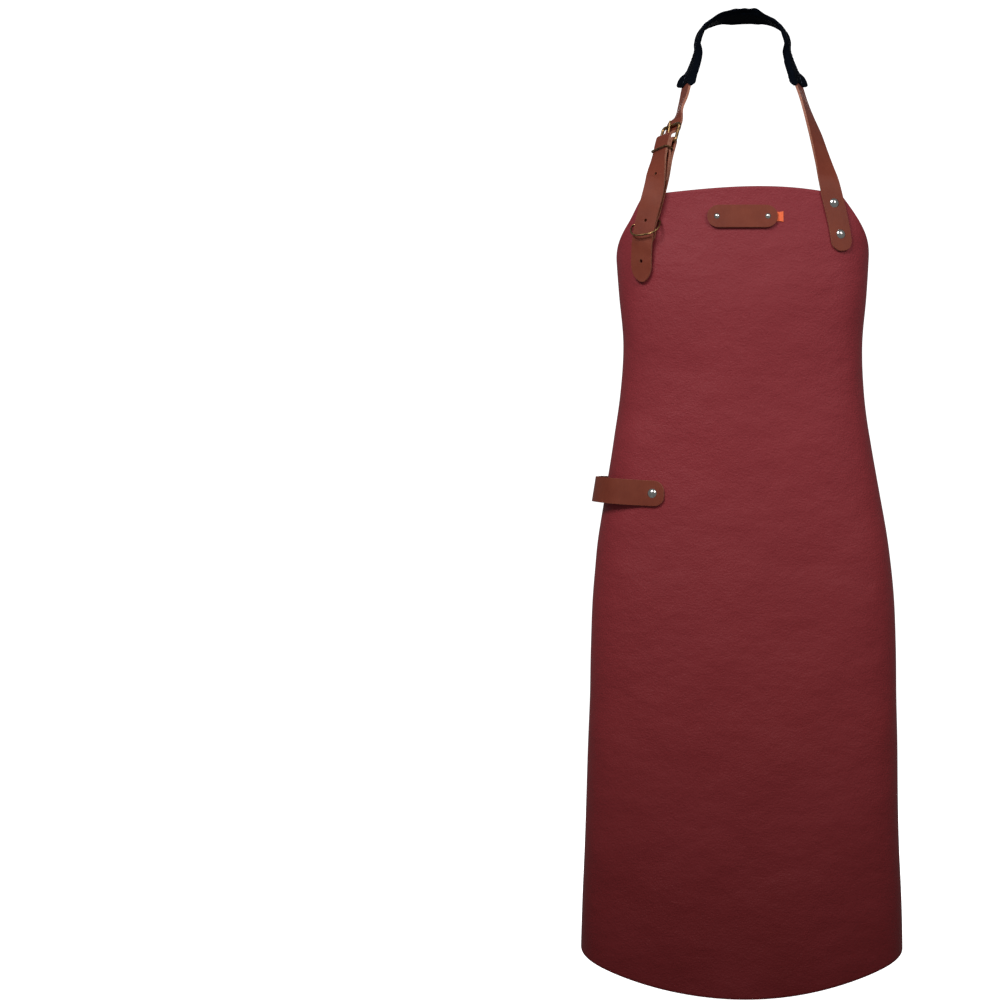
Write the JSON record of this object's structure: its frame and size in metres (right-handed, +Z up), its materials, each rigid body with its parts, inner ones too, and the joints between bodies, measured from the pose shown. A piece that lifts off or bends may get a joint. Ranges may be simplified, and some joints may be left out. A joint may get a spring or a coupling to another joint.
{
  "type": "leather bib apron",
  "caption": "Full-length leather bib apron with a buckled neck strap in a canvas neck pad, a towel loop, a blank name plate and a buckled waist strap.",
  "frame": {"origin": "underside of the neck pad at the nape, where the apron hangs on the neck", "axes": "+Z up, the front of the apron faces -Y, +X is the wearer's left, which is the viewer's right from the front"},
  "size_m": [0.3836, 0.2673, 1.176],
  "materials": {
    "hide": "satin, finely grained full-grain hide, darker towards the hem",
    "strap_leather": "satin, smooth, with paler cut edges",
    "canvas": "matt woven canvas",
    "thread": "matt twisted thread",
    "label": "fine woven tape",
    "antique_brass": "antique, brushed, worn brighter on the edges",
    "nickel": "polished nickel plating"
  },
  "bodies": {
    "apron": {"apron_panel": "hide", "neck_strap": "strap_leather", "neck_pad": "canvas", "neck_pad_stitching": "thread", "buckle_strap": "strap_leather", "neck_strap_rivet_caps": "nickel", "neck_strap_rivet_posts": "nickel", "buckle_strap_rivet_caps": "nickel", "buckle_strap_rivet_posts": "nickel", "name_plate": "strap_leather", "plate_rivet_caps": "nickel", "plate_rivet_posts": "nickel", "flag_label": "label", "towel_loop": "strap_leather", "towel_loop_rivet_caps": "nickel", "towel_loop_rivet_posts": "nickel", "waist_strap": "strap_leather", "waist_buckle_strap": "strap_leather", "waist_rivet_caps": "nickel", "waist_rivet_posts": "nickel"},
    "neck_buckle": {"buckle_frame": "antique_brass"},
    "neck_prong": {"buckle_prong": "antique_brass"},
    "upper_keeper": {"wire_keeper": "antique_brass"},
    "lower_ring": {"ring_keeper": "antique_brass"},
    "waist_buckle": {"waist_buckle_frame": "antique_brass"},
    "waist_prong": {"waist_buckle_prong": "antique_brass"},
    "waist_band": {"waist_keeper": "strap_leather"}
  },
  "joints": [
    {"name": "neck_buckle_tilt", "type": "hinge", "parent": "apron", "child": "neck_buckle", "pos_m": [-0.08908, -0.09181, -0.16457], "axis": [0.6583, -0.7401, 0.1372], "range_deg": [0, 3]},
    {"name": "neck_prong_tilt", "type": "hinge", "parent": "neck_buckle", "child": "neck_prong", "pos_m": [-0.08908, -0.09181, -0.16457], "axis": [0.6583, -0.7401, 0.1372], "range_deg": [0, 5]},
    {"name": "upper_keeper_tilt", "type": "hinge", "parent": "apron", "child": "upper_keeper", "pos_m": [-0.09107, -0.09563, -0.17523], "axis": [-0.6524, 0.7396, -0.1656], "range_deg": [0, 14]},
    {"name": "lower_ring_swing", "type": "hinge", "parent": "apron", "child": "lower_ring", "pos_m": [-0.11308, -0.10605, -0.26009], "axis": [-0.9521, 0.2791, -0.1247], "range_deg": [0, 40]},
    {"name": "waist_buckle_tilt", "type": "hinge", "parent": "apron", "child": "waist_buckle", "pos_m": [-0.012, 0.11565, -0.53383], "axis": [0, 0, 1], "range_deg": [0, 3]},
    {"name": "waist_prong_tilt", "type": "hinge", "parent": "waist_buckle", "child": "waist_prong", "pos_m": [-0.012, 0.11565, -0.53383], "axis": [0, 0, 1], "range_deg": [0, 5]},
    {"name": "waist_band_slide", "type": "slide", "parent": "apron", "child": "waist_band", "axis": [0.8902, 0.4556, 0], "range_m": [-0.005, 0.005]}
  ]
}
